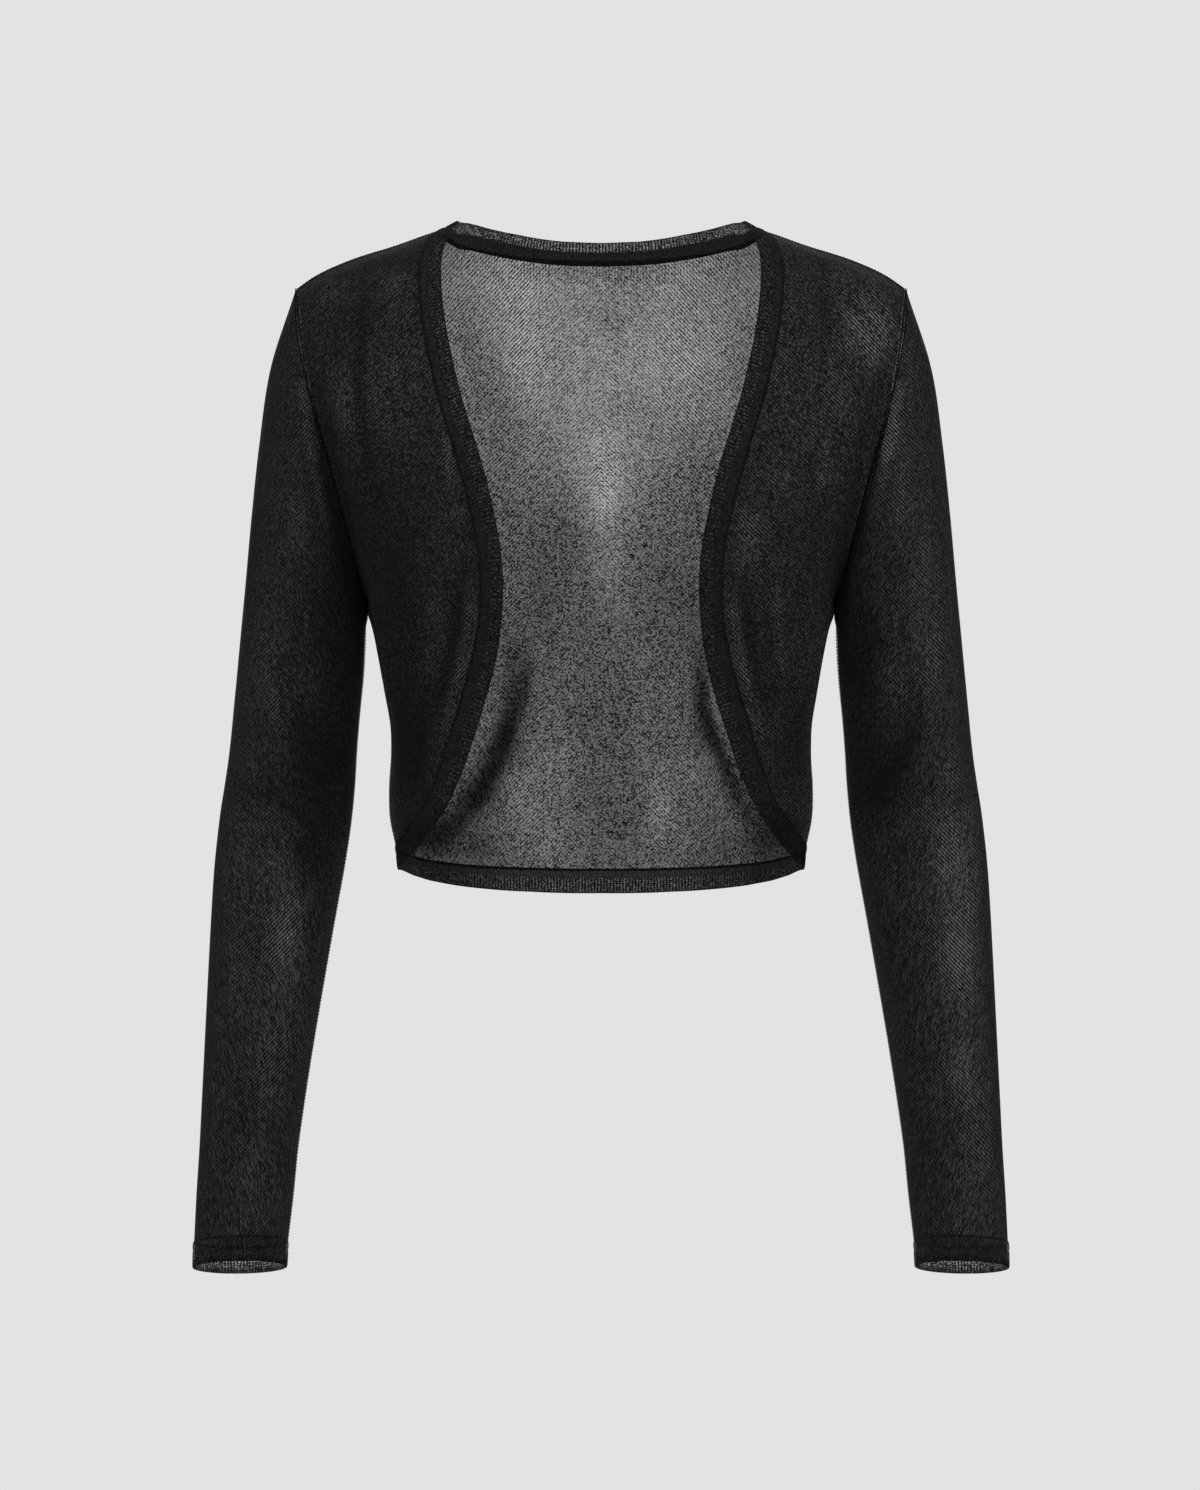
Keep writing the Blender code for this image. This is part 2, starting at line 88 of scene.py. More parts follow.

# Each fold: how wide it is, how far it stands out (or in, below nought), how much light it
# takes away along it as painted shade in its crease, partly for the bunched cloth there (below
# nought it adds painted light along a ridge), and the places across and up that its line runs through.
BACK_FOLDS = [
    (0.0076, -0.0034, 0.88, [(-0.0525, -0.266), (-0.056, -0.300), (-0.0625, -0.321), (-0.070, -0.340),
                             (-0.078, -0.355), (-0.090, -0.369), (-0.102, -0.380)]),
    (0.0110, -0.0010, 0.50, [(-0.066, -0.330), (-0.080, -0.357), (-0.099, -0.378), (-0.108, -0.386)]),
    (0.0038, -0.0014, 0.55, [(-0.0455, -0.272), (-0.048, -0.290), (-0.052, -0.306)]),
    (0.0050, 0.0018, 0.0, [(-0.042, -0.300), (-0.050, -0.330), (-0.060, -0.352)]),
    (0.0058, -0.0030, 0.88, [(0.0635, -0.262), (0.0645, -0.300), (0.0715, -0.320), (0.0802, -0.340),
                             (0.0876, -0.355), (0.097, -0.370)]),
    (0.0120, -0.0010, 0.40, [(0.078, -0.340), (0.090, -0.360), (0.104, -0.380)]),
    (0.0030, 0.0018, -0.15, [(0.069, -0.268), (0.0705, -0.300), (0.079, -0.324), (0.086, -0.340)]),
    (0.0160, -0.0022, 0.12, [(-0.004, -0.255), (0.001, -0.320), (-0.002, -0.380)]),
    (0.0110, 0.0016, -0.06, [(0.024, -0.300), (0.030, -0.352)]),
    (0.0120, 0.0014, -0.08, [(-0.026, -0.322), (-0.030, -0.378)]),
    (0.0140, 0.0020, 0.0, [(0.003, -0.110), (0.002, -0.200), (0.000, -0.290)]),
    (0.0100, -0.0022, 0.20, [(-0.142, -0.150), (-0.128, -0.200), (-0.116, -0.262)]),
    (0.0090, -0.0020, 0.20, [(0.146, -0.158), (0.130, -0.214), (0.120, -0.252)]),
    (0.0080, 0.0016, 0.0, [(-0.132, -0.128), (-0.112, -0.182), (-0.102, -0.246)]),
    (0.0085, 0.0018, 0.0, [(0.128, -0.120), (0.110, -0.170), (0.098, -0.222)]),
    (0.0090, -0.0014, 0.10, [(-0.104, -0.300), (-0.112, -0.346), (-0.108, -0.384)]),
    (0.0080, -0.0015, 0.10, [(0.110, -0.286), (0.116, -0.330), (0.112, -0.372)]),
]
# Each place: across, up, its half width and half height, and how much light comes through.
BACK_LIGHT = 0.104
# Partly real looser and closer knitting, partly painted light and shade: the narrow bright streak down the
# middle is painted light, the low strip just under the neck band is painted shade.
BACK_THIN_AND_PAINTED_LIGHT = [
    (0.000, -0.082, 0.115, 0.052, 0.260), (0.000, -0.034, 0.098, 0.024, 0.225),
    (-0.050, -0.032, 0.024, 0.026, 0.290), (0.048, -0.030, 0.022, 0.020, 0.245),
    (0.000, -0.022, 0.046, 0.008, 0.150), (0.002, -0.140, 0.032, 0.042, 0.280),
    (-0.045, -0.072, 0.030, 0.030, 0.295), (0.045, -0.075, 0.034, 0.030, 0.280),
    (-0.087, -0.073, 0.013, 0.024, 0.150), (-0.078, -0.095, 0.014, 0.030, 0.140),
    (-0.068, -0.120, 0.013, 0.028, 0.125), (0.093, -0.075, 0.011, 0.026, 0.160),
    (0.003, -0.164, 0.009, 0.032, 0.345), (0.005, -0.205, 0.010, 0.024, 0.180),
    (-0.026, -0.193, 0.013, 0.026, 0.095), (-0.038, -0.228, 0.018, 0.034, 0.078),
    (0.055, -0.235, 0.020, 0.035, 0.072), (-0.055, -0.262, 0.015, 0.030, 0.078),
    (-0.050, -0.358, 0.014, 0.022, 0.165), (-0.034, -0.330, 0.012, 0.016, 0.130),
    (0.038, -0.366, 0.009, 0.018, 0.190), (0.056, -0.335, 0.014, 0.018, 0.135),
    (0.014, -0.372, 0.011, 0.020, 0.090), (-0.112, -0.384, 0.018, 0.012, 0.012),
    (0.112, -0.380, 0.017, 0.018, 0.020), (0.068, -0.378, 0.010, 0.012, 0.085),
    (-0.168, -0.045, 0.030, 0.022, 0.075), (0.168, -0.040, 0.030, 0.018, 0.070),
    (-0.103, -0.386, 0.022, 0.017, 0.012), (-0.082, -0.393, 0.015, 0.012, 0.050),
    (0.104, -0.389, 0.021, 0.015, 0.015), (0.080, -0.394, 0.015, 0.010, 0.060),
    (-0.060, -0.322, 0.010, 0.020, 0.050), (0.088, -0.108, 0.012, 0.020, 0.160),
    (-0.080, -0.358, 0.018, 0.015, 0.055), (0.064, -0.318, 0.010, 0.020, 0.060),
    (-0.030, -0.388, 0.012, 0.013, 0.170), (-0.026, -0.338, 0.011, 0.013, 0.150),
]


def wall_of(node, rows, columns, start, towards, closed=False):
    """The middle of a solid's knitted wall, as rows of points: the first row starts at one
    corner and runs towards the next, or for a tube towards a point a quarter of the way round."""
    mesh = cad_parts[node].data
    mesh.calc_loop_triangles()
    place = np.empty(len(mesh.vertices) * 3, np.float32)
    mesh.vertices.foreach_get("co", place)
    used = np.empty(len(mesh.loop_triangles) * 3, np.int32)
    mesh.loop_triangles.foreach_get("vertices", used)
    microns = np.round(place.reshape(-1, 3) * 1e6).astype(int)
    microns, joined = np.unique(microns, axis=0, return_inverse=True)
    place = microns / 1e6
    faces = joined.reshape(-1)[used.reshape(-1, 3)]
    sides = np.linalg.norm(place[faces] - place[np.roll(faces, -1, axis=1)], axis=2)
    third = {}
    for a, b, c in faces[sides.min(axis=1) > SHORTEST_STITCHED_SIDE].tolist():
        third[a, b], third[b, c], third[c, a] = c, a, b
    after = {a: b for a, b in third if (b, a) not in third}
    edges = []
    while after:
        edge = [min(after)]
        while edge[-1] in after:
            edge.append(after.pop(edge[-1]))
        edges.append(edge[:-1])
    far = {id(e): np.linalg.norm(place[e] - start, axis=1).min() for e in edges}
    walls = []
    for edge in sorted(edges, key=lambda e: far[id(e)])[:2]:
        first = int(np.argmin(np.linalg.norm(place[edge] - start, axis=1)))
        ahead = edge[first:] + edge[:first]
        turned = ahead[:1] + ahead[:0:-1]
        check = columns // 4 if closed else columns
        off = [np.linalg.norm(place[e[check]] - towards) for e in (ahead, turned)]
        way = ahead if off[0] < off[1] else turned
        mate = third if way is ahead else {(b, a): c for (a, b), c in third.items()}
        grid = [way[: columns if closed else columns + 1]]
        for down in range(1, rows + 1):
            above = grid[-1]
            if closed:
                below = [mate[above[i - 1], above[i]] for i in range(columns)]
                straight = np.linalg.norm(place[below] - place[above], axis=1).sum()
                shifted = below[1:] + below[:1]
                slanted = np.linalg.norm(place[shifted] - place[above], axis=1).sum()
                row = [below[0] if straight < slanted else shifted[0]]
            else:
                row = [way[-down]]
            for i in range(len(above) - 1):
                found = mate[above[i], above[i + 1]]
                row.append(mate[row[-1], above[i + 1]] if found == row[-1] else found)
            grid.append(row)
        walls.append(place[np.array(grid)])
    return (walls[0] + walls[1]) / 2


def smooth_line(points, count, closed=False):
    """Points evenly along a smooth line through the given ones, which stays sharp at corners."""
    if closed:
        points = np.concatenate([points[-1:], points, points[:2]])
    step = np.diff(points, axis=0)
    long = np.maximum(np.linalg.norm(step, axis=-1, keepdims=True), 1e-9)
    turn = (step[1:] * step[:-1]).sum(axis=-1, keepdims=True) / (long[1:] * long[:-1])
    soft = np.clip((turn - CORNER) / CORNER_BLEND, 0, 1)
    slope = np.concatenate([step[:1], (step[1:] + step[:-1]) / 2 * soft, step[-1:]])
    ends = (1, len(points) - 2) if closed else (0, len(points) - 1)
    at = np.linspace(*ends, count)
    i = np.minimum(at.astype(int), len(points) - 2)
    t = (at - i).reshape(-1, *[1] * (points.ndim - 1))
    rise = t * t * (3 - 2 * t)
    return (
        points[i] * (1 - rise) + points[i + 1] * rise
        + slope[i] * (t * (1 - t) ** 2) - slope[i + 1] * (t * t * (1 - t))
    )


def finely(grid, rows, columns, closed=False):
    """The same surface with more rows and columns. A tube's last column is its first again."""
    down = smooth_line(grid, rows)
    return smooth_line(down.swapaxes(0, 1), columns, closed).swapaxes(0, 1)


def facing(points, inside, closed=False):
    """The direction straight out of the cloth at each point, away from the wearer."""
    across = np.gradient(points, axis=1)
    if closed:
        across[:, 0] = across[:, -1] = (points[:, 1] - points[:, -2]) / 2
    out = np.cross(across, np.gradient(points, axis=0))
    out /= np.maximum(np.linalg.norm(out, axis=2, keepdims=True), 1e-12)
    return out if (out * (points - inside)).sum() > 0 else -out


def beside_line(points, line):
    """How far each point is from a fold's line, seen from the front, and how far along it."""
    here = points[..., [0, 2]]
    line = np.array(line)
    run = np.concatenate([[0], np.cumsum(np.linalg.norm(np.diff(line, axis=0), axis=1))])
    away, along = np.full(here.shape[:2], 1e9), np.zeros(here.shape[:2])
    for i, (start, end) in enumerate(zip(line[:-1], line[1:])):
        share = ((here - start) @ (end - start)) / ((end - start) @ (end - start))
        share = np.clip(share, 0, 1)
        off = np.linalg.norm(here - start - share[..., None] * (end - start), axis=2)
        along = np.where(off < away, (run[i] + share * (run[i + 1] - run[i])) / run[-1], along)
        away = np.minimum(away, off)
    return away, along


def folded(points, out, through, folds, where=1.0, closed=False):
    """The cloth with its folds, and the light that still comes through it, with painted shade
    along each fold's crease, partly for the bunched cloth there, and painted light along a ridge
    where a fold's share is below nought. The folds flatten out where the cloth's edges are held in their
    seams."""
    moved = np.zeros(points.shape[:2])
    edges = [run_over(points, [0, 1, 2], 0)] + ([] if closed else [run_over(points, [0, 1, 2], 1)])
    near_edge = np.min([np.minimum(run, run.max(axis=k, keepdims=True) - run)
                        for k, run in enumerate(edges)], axis=0)
    free = np.clip(near_edge / HELD_WIDTH, 0, 1)
    free = free * free * (3 - 2 * free)
    for width, height, crease_shade, line in folds:
        away, along = beside_line(points, line)
        fade = np.sin(np.pi * (FOLD_START + (1 - 2 * FOLD_START) * along)) ** FOLD_FADE * where
        moved += height * np.exp(-((away / width) ** 2)) * fade * free
        # painted shade along the crease, partly real bunched cloth; painted light where the share is below
        # nought
        through = through * (1 - crease_shade * np.exp(-((away / width) ** FOLD_SHADE)) * fade)
    return points + out * moved[..., None], through


def thinned(points, light, places, where=1.0):
    """How much light comes through the cloth at each point."""
    through = np.full(points.shape[:2], light)
    for x, z, wide, high, value in places:
        near = np.exp(-(((points[..., 0] - x) / wide) ** 2) - ((points[..., 2] - z) / high) ** 2)
        through = through + (value - through) * near * where
    return through


def run_over(points, axes, along):
    """How far each point is along its row or column, counting only the given directions."""
    step = np.linalg.norm(np.diff(points[..., axes], axis=along), axis=2)
    run = np.cumsum(step, axis=along)
    return np.concatenate([np.zeros_like(np.take(run, [0], axis=along)), run], axis=along)


def knitted(name, points, faces, square, flat, through):
    """A knitted mesh, with a square map of all of it, a flat map of its stitches' places,
    and how much light comes through at each point."""
    mesh = bpy.data.meshes.new(name)
    mesh.from_pydata(points.reshape(-1, 3).tolist(), [], faces)
    for layer, places in (("OFBake", square), ("stitches", flat)):
        mesh.uv_layers.new(name=layer).data.foreach_set("uv", places.astype(np.float32).ravel())
    light = mesh.attributes.new("light_through", "FLOAT", "POINT")
    light.data.foreach_set("value", through.astype(np.float32).ravel())
    mesh.shade_smooth()
    piece = bpy.data.objects.new(name, mesh)
    bpy.context.scene.collection.objects.link(piece)
    return piece


def cloth(name, points, out, stitches, through, closed=False):
    """A single layer of knitted cloth through rows of points, facing out."""
    rows, columns = points.shape[:2]
    kept = columns - 1 if closed else columns
    i, j = np.meshgrid(np.arange(rows - 1), np.arange(columns - 1), indexing="ij")
    corners = np.stack([i, i + 1, i + 1, i, j, j, j + 1, j + 1], axis=-1).reshape(-1, 2, 4)
    seen = points[1, 0] - points[0, 0], points[0, 1] - points[0, 0]
    if np.dot(np.cross(*seen), out[0, 0]) < 0:
        corners = corners[:, :, ::-1]
    down, over = corners[:, 0].reshape(-1), corners[:, 1].reshape(-1)
    faces = (down * kept + over % kept).reshape(-1, 4).tolist()
    square = np.stack([over / (columns - 1), 1 - down / (rows - 1)], axis=1)
    return knitted(name, points[:, :kept], faces, square, stitches[down, over], through[:, :kept])


class Shade:
    """One output of a material's node. Sums and products of outputs add Math nodes."""

    def __init__(self, nodes, socket=None):
        self.nodes, self.socket = nodes, socket

    def add(self, kind, settings={}, values={}, output=0):
        node = self.nodes.new("ShaderNode" + kind)
        for name, value in settings.items():
            setattr(node, name, value)
        for name, value in values.items():
            self.give(node.inputs[name], value)
        return Shade(self.nodes, node.outputs[output])

    def give(self, socket, value):
        if isinstance(value, Shade):
            self.nodes.id_data.links.new(value.socket, socket)
        else:
            socket.default_value = value

    def also(self, output):
        return Shade(self.nodes, self.socket.node.outputs[output])

    def maths(self, operation, *values):
        return self.add("Math", {"operation": operation}, dict(enumerate(values)))

    def __add__(self, other):
        return self.maths("ADD", self, other)

    def __sub__(self, other):
        return self.maths("SUBTRACT", self, other)

    def __rsub__(self, other):
        return self.maths("SUBTRACT", other, self)

    def __mul__(self, other):
        return self.maths("MULTIPLY", self, other)

    __radd__, __rmul__ = __add__, __mul__

    def between(self, low, high):
        return self.maths("MINIMUM", self.maths("MAXIMUM", self, low), high)

    def wave(self, length):
        """Goes from 1 to -1 and back once in each length."""
        return self.maths("COSINE", self * (2 * math.pi / length))

    def noise(self, size, detail, where):
        """Soft specks about this size, from -0.5 to 0.5."""
        made = self.add("TexNoise", {}, {"Vector": where, "Scale": 1 / size, "Detail": detail})
        return made - 0.5


WALE, COURSE = 0.0020, 0.0018  # a stitch's width and height
OPEN_ROWS = 0.030  # the wales show plainly as far as this below the first row
SLANT = 0.0026  # the stitches also line up aslant, rising away from the middle
SLANT_PLAIN = 0.05  # and show it plainly from this far aside
CLOSEST, LOOSEST = 0.04, 3.2  # the light through the closest and loosest stitches, as a share
BLACK_YARN, GREY_BLOOM = (0.0014, 0.0015, 0.0016, 1), (0.0056, 0.0060, 0.0063, 1)


def black_cloth(name, roughness, sheen):
    """A material for black knitted yarn, and the start of its nodes."""
    material = bpy.data.materials.new(name)
    material.use_nodes = True
    shader = material.node_tree.nodes["Principled BSDF"]
    shader.inputs["Specular IOR Level"].default_value = 0.03
    shader.inputs["Sheen Weight"].default_value = sheen
    shader.inputs["Sheen Roughness"].default_value = 0.55
    shader.inputs["Sheen Tint"].default_value = (0.88, 0.95, 1.0, 1)
    shader.inputs["Roughness"].default_value = roughness
    return material, shader, Shade(material.node_tree.nodes)


def knitting_of(start):
    """The places of the stitches across and down, the place in the room, and the light."""
    flat = start.add("SeparateXYZ", {}, {"Vector": start.add("UVMap", {"uv_map": "stitches"})})
    place = start.add("TexCoord", {}, {}, "Object")
    light = start.add("Attribute", {"attribute_name": "light_through"}, {}, "Fac")
    return flat, flat.also("Y"), place, light


def dye(start, shader, bloom, yarn, grey):
    """Colours the yarn, greyer where more of its loose fibres show."""
    start.give(shader.inputs["Base Color"], start.add(
        "Mix", {"data_type": "RGBA"}, {"Factor": bloom, 6: yarn, 7: grey}, 2))


def raise_stitches(start, shader, relief, strength, height):
    start.give(shader.inputs["Normal"], start.add(
        "Bump", {}, {"Height": relief, "Strength": strength, "Distance": height}))


def jersey():
    material, shader, start = black_cloth("black_jersey", 0.78, 0.012)
    across, down, place, light = knitting_of(start)
    wales, courses = across.wave(WALE), down.wave(COURSE)
    spot = start.add("SeparateXYZ", {}, {"Vector": place})
    aside = spot.maths("ABSOLUTE", spot)
    slanted = aside.maths("DIVIDE", aside, SLANT_PLAIN).between(0.5, 1.0)
    slant = (aside + spot.also("Z")).wave(SLANT) * slanted
    specks = start.noise(0.0008, 1.0, place)
    slubs = start.noise(0.0028, 2.0, place)
    stitch = start.add("VectorMath", {"operation": "SNAP"},
                       {0: start.add("UVMap", {"uv_map": "stitches"}), 1: (WALE / 2, COURSE / 2, 1)})
    loops = start.add("TexWhiteNoise", {}, {"Vector": stitch}) - 0.5
    clouds = start.noise(0.020, 2.0, place)
    near_edge = (1 - down.maths("DIVIDE", down, OPEN_ROWS)).between(0.0, 1.0)
    gaps = (0.06 + 0.40 * near_edge) * wales + 0.05 * courses + (0.16 + 2.4 * light) * slant
    speckled = (1.0 - 2.2 * light).between(0.45, 1.0)
    uneven = speckled * (2.8 * loops + 2.3 * specks + 0.3 * slubs) + 0.5 * clouds
    open_share = light * (1 + gaps + uneven).between(CLOSEST, LOOSEST)
    start.give(shader.inputs["Alpha"], 1 - open_share.between(0.0, 0.92))
    bloom = (0.5 + 0.25 * courses + 0.5 * slubs + 2.2 * specks).between(0.0, 1.0)
    dye(start, shader, bloom, BLACK_YARN, GREY_BLOOM)
    start.give(shader.inputs["Roughness"], 0.78 + 0.3 * specks)
    raise_stitches(start, shader, 0.45 * wales + 0.3 * courses + 1.2 * specks, 0.55, 0.0003)
    return material


black_jersey = jersey()

back_grid = wall_of("back_panel", BACK_ROWS, BACK_COLUMNS, SHOULDER_TIP,
                    (-SHOULDER_TIP[0], 0.0, SHOULDER_TIP[2]))


def let_in(points, top=0.0, bottom=0.0, left=0.0, right=0.0):
    """The panel with its edges run on into the seams by these lengths."""
    points = points.copy()
    for edge, inner, more in ((0, 1, top), (-1, -2, bottom)):
        way = points[edge] - points[inner]
        points[edge] += way / np.linalg.norm(way, axis=1, keepdims=True) * more
    for edge, inner, more in ((0, 1, left), (-1, -2, right)):
        way = points[:, edge] - points[:, inner]
        points[:, edge] += way / np.linalg.norm(way, axis=1, keepdims=True) * more
    return points


def stitched_from(points, plumb):
    """Each point's place in the knitting: across from the upright line at this x, and down."""
    across = run_over(points, [0, 1], 1)
    for row, x in zip(across, points[..., 0]):
        order = np.argsort(x)
        row -= np.interp(plumb, x[order], row[order])
    return np.stack([across, run_over(points, [1, 2], 0)], axis=-1)


def armhole_let_in(z):
    """How far each point of an edge runs into its seam, by its level."""
    turned = np.clip((ARM_FRONT - z) / ARM_TURN, 0, 1)
    turned *= np.clip((z - ARM_UNDER) / ARM_UNDER_TURN + 1.6, 0, 1)
    return (LET_IN + ARMHOLE_LET_IN * turned)[:, None]


def settled(points):
    """The shoulders dip a little between the neck and the sleeve."""
    points = points.copy()
    near_top = np.clip(points[..., 2] / SHOULDER_REACH + 1, 0, 1)
    dip = np.exp(-(((np.abs(points[..., 0]) - SHOULDER_MIDDLE) / SHOULDER_SPREAD) ** 2))
    points[..., 2] -= SHOULDER_DIP * dip * near_top
    return points


def underarm(points, outward):
    """Body and sleeve press together just under the arm, so the gap opens lower down."""
    points = points.copy()
    near = np.exp(-(((np.abs(points[..., 0]) - UNDERARM_X) / PRESSED_WIDTH) ** 2)
                  - ((points[..., 2] - UNDERARM_PRESSED) / PRESSED_HEIGHT) ** 2)
    points[..., 0] += outward * PRESSED * near
    return points


back = settled(finely(back_grid, BACK_FINE_ROWS, BACK_FINE_COLUMNS))
hem_let_in = HEM_LET_IN - np.interp(np.abs(back[-1, :, 0]), *zip(*HEM_DROP))[:, None]
back = let_in(back, LET_IN, hem_let_in, armhole_let_in(back[:, 0, 2]), armhole_let_in(back[:, -1, 2]))
back = underarm(back, np.sign(back[..., 0]))
back_out = facing(back, INSIDE_BACK)
back_map = stitched_from(back, CENTRE_BACK)
back, back_light = folded(back, back_out, thinned(back, BACK_LIGHT, BACK_THIN_AND_PAINTED_LIGHT), BACK_FOLDS)
back_panel = cloth("back_jersey", back, back_out, back_map, back_light)
back_panel.data.materials.append(black_jersey)
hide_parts("back_panel")
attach(back_panel, "root")


# ---- The fronts ----
# Two panels of the same jersey, each cut away in one long curve from the side of the neck
# to the side of the hem, so they meet nowhere. Soft upright folds fall from the shoulders.

FRONT_ROWS, FRONT_COLUMNS = 18, 9
FRONT_FINE_ROWS, FRONT_FINE_COLUMNS = 190, 96
FRONT_PLUMB = 0.122  # where the knitting of a front runs upright
INSIDE_FRONT = (0.10, 0.0, -0.2)
FRONT_LIGHT = {"left": 0.114, "right": 0.085}
FRONT_FOLDS = {
    "left": [
        (0.0056, -0.0022, 0.45, [(0.176, -0.086), (0.167, -0.114), (0.160, -0.142), (0.155, -0.172),
                                 (0.148, -0.212), (0.143, -0.243)]),
        (0.0035, -0.0014, 0.50, [(0.136, -0.030), (0.136, -0.075), (0.132, -0.120)]),
        (0.0035, 0.0012, -1.00, [(0.137, -0.138), (0.134, -0.158), (0.131, -0.178)]),
        (0.0038, 0.0024, -1.20, [(0.077, -0.232), (0.081, -0.262), (0.090, -0.298), (0.097, -0.318)]),
        (0.0045, -0.0020, 0.65, [(0.086, -0.228), (0.090, -0.262), (0.099, -0.300)]),
        (0.0035, 0.0010, -0.50, [(0.104, -0.230), (0.107, -0.262), (0.110, -0.292)]),
        (0.0040, -0.0012, 0.50, [(0.100, -0.220), (0.101, -0.250), (0.104, -0.290)]),
        (0.0090, 0.0016, 0.0, [(0.122, -0.060), (0.121, -0.110), (0.115, -0.170)]),
        (0.0080, 0.0018, 0.0, [(0.132, -0.200), (0.128, -0.260), (0.124, -0.330)]),
    ],
    "right": [
        (0.0060, -0.0022, 0.62, [(-0.182, -0.078), (-0.173, -0.110), (-0.165, -0.140), (-0.158, -0.180),
                                 (-0.151, -0.220), (-0.144, -0.243)]),
        (0.0042, -0.0014, 0.62, [(-0.143, -0.030), (-0.145, -0.070), (-0.147, -0.112), (-0.142, -0.148),
                                 (-0.132, -0.182)]),
        (0.0040, 0.0012, -0.90, [(-0.097, -0.118), (-0.091, -0.150), (-0.084, -0.190)]),
        (0.0042, 0.0024, -1.20, [(-0.0765, -0.226), (-0.078, -0.258), (-0.086, -0.290), (-0.096, -0.324)]),
        (0.0045, -0.0020, 0.70, [(-0.083, -0.212), (-0.087, -0.250), (-0.094, -0.282), (-0.104, -0.316)]),
        (0.0040, -0.0016, 0.70, [(-0.107, -0.290), (-0.110, -0.325), (-0.115, -0.352)]),
        (0.0060, 0.0014, -1.00, [(-0.158, -0.098), (-0.153, -0.118), (-0.145, -0.146)]),
        (0.0090, 0.0018, 0.0, [(-0.128, -0.060), (-0.126, -0.120), (-0.118, -0.180)]),
        (0.0090, 0.0016, 0.0, [(-0.134, -0.190), (-0.131, -0.250), (-0.126, -0.320)]),
    ],
}
FRONT_THIN = {
    "left": [
        (0.125, -0.085, 0.016, 0.030, 0.130), (0.122, -0.122, 0.016, 0.024, 0.165),
        (0.134, -0.100, 0.007, 0.020, 0.180), (0.160, -0.055, 0.014, 0.017, 0.460),
        (0.169, -0.070, 0.009, 0.020, 0.520), (0.147, -0.043, 0.009, 0.010, 0.300),
        (0.105, -0.168, 0.010, 0.010, 0.220), (0.141, -0.165, 0.005, 0.018, 0.150),
        (0.090, -0.200, 0.009, 0.019, 0.280), (0.103, -0.236, 0.007, 0.018, 0.160),
        (0.092, -0.285, 0.010, 0.030, 0.110), (0.150, -0.225, 0.014, 0.040, 0.030),
        (0.122, -0.330, 0.018, 0.045, 0.050), (0.112, -0.378, 0.018, 0.026, 0.160),
        (0.160, -0.074, 0.010, 0.016, 0.550), (0.148, -0.115, 0.010, 0.022, 0.190),
        (0.150, -0.020, 0.035, 0.012, 0.050),
    ],
    "right": [
        (-0.162, -0.053, 0.011, 0.011, 0.300), (-0.132, -0.046, 0.012, 0.014, 0.200),
        (-0.128, -0.108, 0.016, 0.030, 0.150), (-0.150, -0.070, 0.020, 0.030, 0.095),
        (-0.154, -0.114, 0.008, 0.018, 0.120), (-0.090, -0.205, 0.009, 0.040, 0.120),
        (-0.100, -0.255, 0.007, 0.028, 0.130), (-0.150, -0.205, 0.018, 0.050, 0.030),
        (-0.127, -0.235, 0.020, 0.050, 0.030), (-0.122, -0.320, 0.018, 0.050, 0.012),
        (-0.140, -0.022, 0.035, 0.014, 0.040),
    ],
}

BOTH_SIDES = (("left", np.array([1, 1, 1])), ("right", np.array([-1, 1, 1])))


def front_wall(side, mirrored):
    """A front panel's surface, before its edges are let into their seams."""
    grid = wall_of("front_panel_" + side, FRONT_ROWS, FRONT_COLUMNS,
                   mirrored * NECK_POINT, mirrored * SHOULDER_TIP)
    return settled(finely(grid, FRONT_FINE_ROWS, FRONT_FINE_COLUMNS))


for side, mirrored in BOTH_SIDES:
    front = front_wall(side, mirrored)
    front = let_in(front, LET_IN, LET_IN, LET_IN, armhole_let_in(front[:, -1, 2]))
    front = underarm(front, mirrored[0])
    front_out = facing(front, mirrored * INSIDE_FRONT)
    front_map = stitched_from(front, mirrored[0] * FRONT_PLUMB)
    front_light = thinned(front, FRONT_LIGHT[side], FRONT_THIN[side])
    front, front_light = folded(front, front_out, front_light, FRONT_FOLDS[side])
    front_panel = cloth("front_jersey_" + side, front, front_out, front_map, front_light)
    front_panel.data.materials.append(black_jersey)
    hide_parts("front_panel_" + side)
    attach(front_panel, "root")


# ---- The sleeves ----
# Long set-in sleeves, each one piece of jersey closed by a seam under the arm. They hang
# a little bent at the elbow, and thin out where the forearm stretches them.

SLEEVE_ROWS, SLEEVE_COLUMNS = 17, 20
SLEEVE_FINE_ROWS, SLEEVE_FINE_COLUMNS = 250, 141
UNDERARM = (UNDERARM_X, 0.0, ARM_UNDER)
SLEEVE_FRONT = (0.178, -0.055, -0.150)
SLEEVE_LIGHT = {"left": 0.130, "right": 0.112}
SLEEVE_OUTER_GAIN = {"left": 0.05, "right": -0.06}  # the light through its outer side
